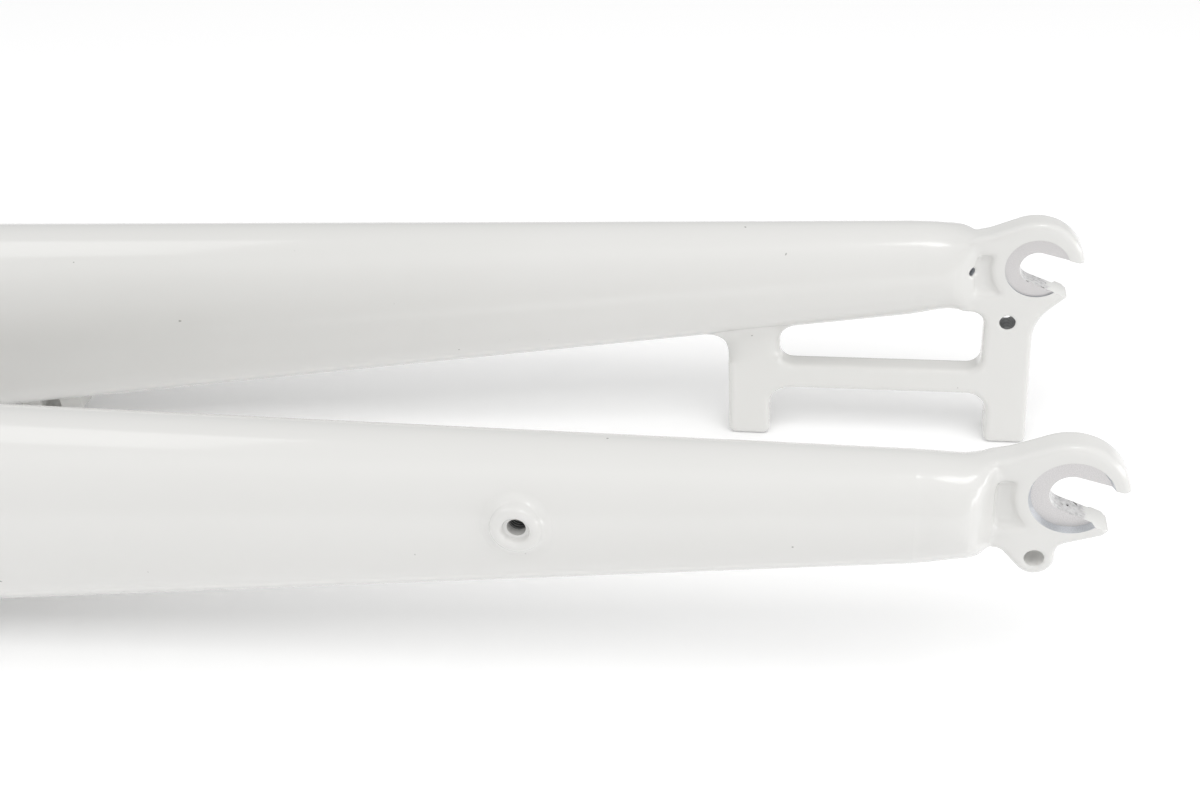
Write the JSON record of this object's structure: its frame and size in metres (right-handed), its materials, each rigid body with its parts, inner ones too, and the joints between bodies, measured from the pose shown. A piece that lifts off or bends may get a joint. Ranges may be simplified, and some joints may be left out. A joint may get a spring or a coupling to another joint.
{
  "type": "bicycle fork",
  "caption": "Rigid bicycle fork with straight tapered oval blades, slotted dropouts, a post-mount disc bracket on the left leg, rack bosses and a plain threadless steerer.",
  "frame": {"origin": "under the middle of the fork's overall box, on the surface it lies on: the plane of the two brake post faces and the crown's back", "axes": "+X along the fork towards the dropouts, +Y to the rider's left, +Z towards the fork's front, which is up as it lies on its back"},
  "size_m": [0.6644, 0.1442, 0.0709],
  "materials": {
    "white_paint": "gloss",
    "bare_alloy": "satin"
  },
  "bodies": {
    "root": {"left_blade": "white_paint", "right_blade": "white_paint", "left_dropout": "white_paint", "right_dropout": "white_paint", "fork_crown": "white_paint", "left_rack_boss": "white_paint", "right_rack_boss": "white_paint", "hose_guide": "white_paint", "steerer_tube": "bare_alloy"}
  },
  "joints": []
}
